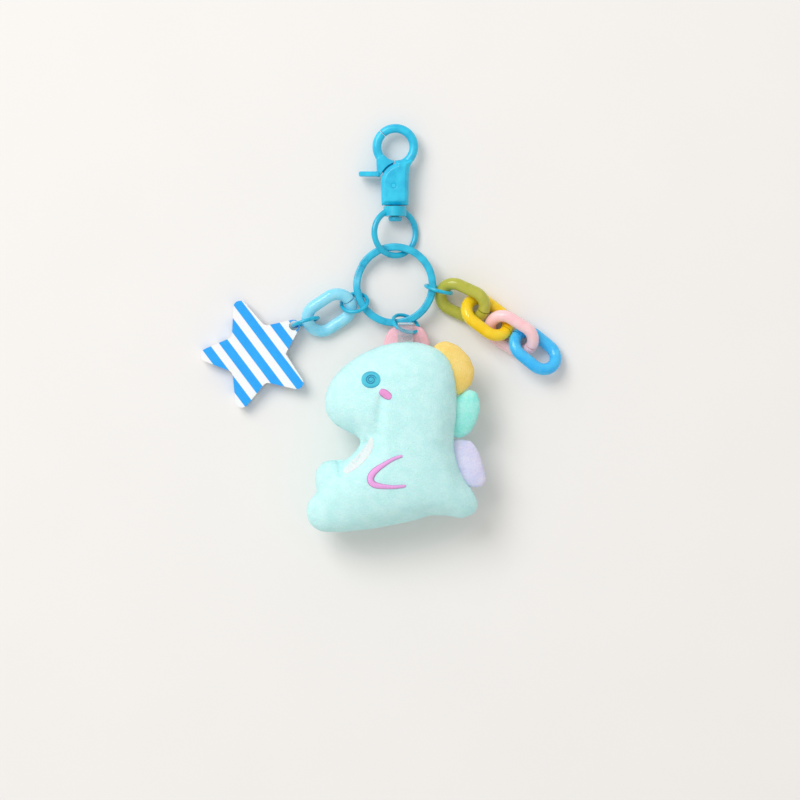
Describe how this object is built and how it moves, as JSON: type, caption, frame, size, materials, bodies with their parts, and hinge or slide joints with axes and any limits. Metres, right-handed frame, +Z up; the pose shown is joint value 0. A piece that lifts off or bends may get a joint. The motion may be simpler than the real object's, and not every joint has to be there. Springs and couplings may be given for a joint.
{
  "type": "plush keychain",
  "caption": "Keyring with a swivel lobster hook, a split ring, a stuffed dinosaur toy, a striped star and a tail of open plastic links.",
  "frame": {"origin": "on the table, under the middle of the keychain as it lies", "axes": "+Z up from the table, +Y from the toy to the hook, +X to the tail of links"},
  "size_m": [0.1086, 0.1229, 0.0256],
  "materials": {
    "blue_paint": "semi-gloss paint",
    "spring_steel": "bright",
    "sky_acrylic": "gloss",
    "olive_acrylic": "gloss",
    "yellow_acrylic": "gloss",
    "pink_acrylic": "gloss",
    "blue_acrylic": "gloss",
    "striped_acrylic": "gloss, striped",
    "clear_strap": "clear flexible plastic",
    "fibre_fill": "loose fibre",
    "mint_plush": "short pile",
    "white_plush": "short pile",
    "pink_plush": "short pile",
    "yellow_plush": "short pile",
    "teal_plush": "short pile",
    "lavender_plush": "short pile",
    "blue_thread": "satin stitch",
    "pink_thread": "satin stitch",
    "violet_thread": "satin stitch"
  },
  "bodies": {
    "hook": {"hook_body": "blue_paint", "gate_pin": "blue_paint", "gate_spring": "spring_steel", "swivel_rivet": "blue_paint"},
    "gate": {"gate_lever": "blue_paint"},
    "swivel": {"swivel_ring": "blue_paint"},
    "split": {"split_ring": "blue_paint"},
    "left_ring": {"jump_ring_left": "blue_paint"},
    "sky_link": {"link_sky": "sky_acrylic"},
    "star_ring": {"jump_ring_star": "blue_paint"},
    "star": {"star_charm": "striped_acrylic"},
    "right_ring": {"jump_ring_right": "blue_paint"},
    "olive_link": {"link_olive": "olive_acrylic"},
    "yellow_link": {"link_yellow": "yellow_acrylic"},
    "pink_link": {"link_pink": "pink_acrylic"},
    "blue_link": {"link_blue": "blue_acrylic"},
    "toy_ring": {"jump_ring_plush": "blue_paint"},
    "toy": {"clear_strap": "clear_strap", "stuffing": "fibre_fill", "side_panel_near": "mint_plush", "side_panel_far": "mint_plush", "belly_gusset": "white_plush", "spine_pink": "pink_plush", "spine_yellow": "yellow_plush", "spine_teal": "teal_plush", "spine_lavender": "lavender_plush", "eye_stitching_near": "blue_thread", "eye_stitching_far": "blue_thread", "cheek_stitching_near": "pink_thread", "cheek_stitching_far": "pink_thread", "arm_stitching_near": "violet_thread", "arm_stitching_far": "violet_thread"}
  },
  "joints": [
    {"name": "gate_hinge", "type": "hinge", "parent": "hook", "child": "gate", "pos_m": [0.0032, 0.04275, 0.004], "axis": [0, 0, 1], "range_deg": [0, 25], "stiffness_Nm_per_rad": 0.004, "springref_deg": -68.75},
    {"name": "swivel_spin", "type": "hinge", "parent": "hook", "child": "swivel", "pos_m": [0.0036, 0.035, 0.004], "axis": [0, 1, 0], "continuous": true},
    {"name": "split_swing", "type": "hinge", "parent": "swivel", "child": "split", "pos_m": [0.0036, 0.0288, 0.004], "axis": [-0.4415, 0, -0.8973], "range_deg": [-50, 50]},
    {"name": "left_ring_swing", "type": "hinge", "parent": "split", "child": "left_ring", "pos_m": [-0.00688, 0.00856, 0.00297], "axis": [-0.3807, 0.9239, -0.0387], "range_deg": [-75, 30]},
    {"name": "sky_link_swing", "type": "hinge", "parent": "left_ring", "child": "sky_link", "pos_m": [-0.01401, 0.0062, 0.00394], "axis": [0.1712, -0.3661, 0.9147], "range_deg": [-60, 25]},
    {"name": "star_ring_swing", "type": "hinge", "parent": "sky_link", "child": "star_ring", "pos_m": [-0.02258, 0.00216, 0.00392], "axis": [-0.1643, 0.9048, 0.3929], "range_deg": [-20, 45]},
    {"name": "star_turn", "type": "hinge", "parent": "star_ring", "child": "star", "pos_m": [-0.0267, 0.0009, 0.00345], "axis": [-0.0418, -0.0315, 0.9986], "range_deg": [-60, 40]},
    {"name": "right_ring_swing", "type": "hinge", "parent": "split", "child": "right_ring", "pos_m": [0.01479, 0.01218, 0.00517], "axis": [-0.0558, -0.9984, -0.0057], "range_deg": [-45, 45]},
    {"name": "olive_link_swing", "type": "hinge", "parent": "right_ring", "child": "olive_link", "pos_m": [0.02155, 0.00937, 0.00401], "axis": [-0.2739, -0.4078, 0.871], "range_deg": [-25, 75]},
    {"name": "yellow_link_swing", "type": "hinge", "parent": "olive_link", "child": "yellow_link", "pos_m": [0.02625, 0.00721, 0.00449], "axis": [-0.2739, -0.4078, 0.871], "range_deg": [-20, 60]},
    {"name": "pink_link_swing", "type": "hinge", "parent": "yellow_link", "child": "pink_link", "pos_m": [0.03339, 0.00187, 0.00431], "axis": [-0.3438, -0.4411, -0.829], "range_deg": [-40, 50]},
    {"name": "blue_link_swing", "type": "hinge", "parent": "pink_link", "child": "blue_link", "pos_m": [0.04368, -0.00498, 0.00409], "axis": [-0.3208, -0.3914, -0.8625], "range_deg": [-30, 30]},
    {"name": "toy_ring_swing", "type": "hinge", "parent": "split", "child": "toy_ring", "pos_m": [0.00695, 0.00225, 0.00437], "axis": [-0.956, -0.2768, -0.0971], "range_deg": [-25, 35]},
    {"name": "toy_swing", "type": "hinge", "parent": "toy_ring", "child": "toy", "pos_m": [0.0069, -0.00095, 0.00835], "axis": [-1, 0, 0], "range_deg": [-20, 45]}
  ]
}
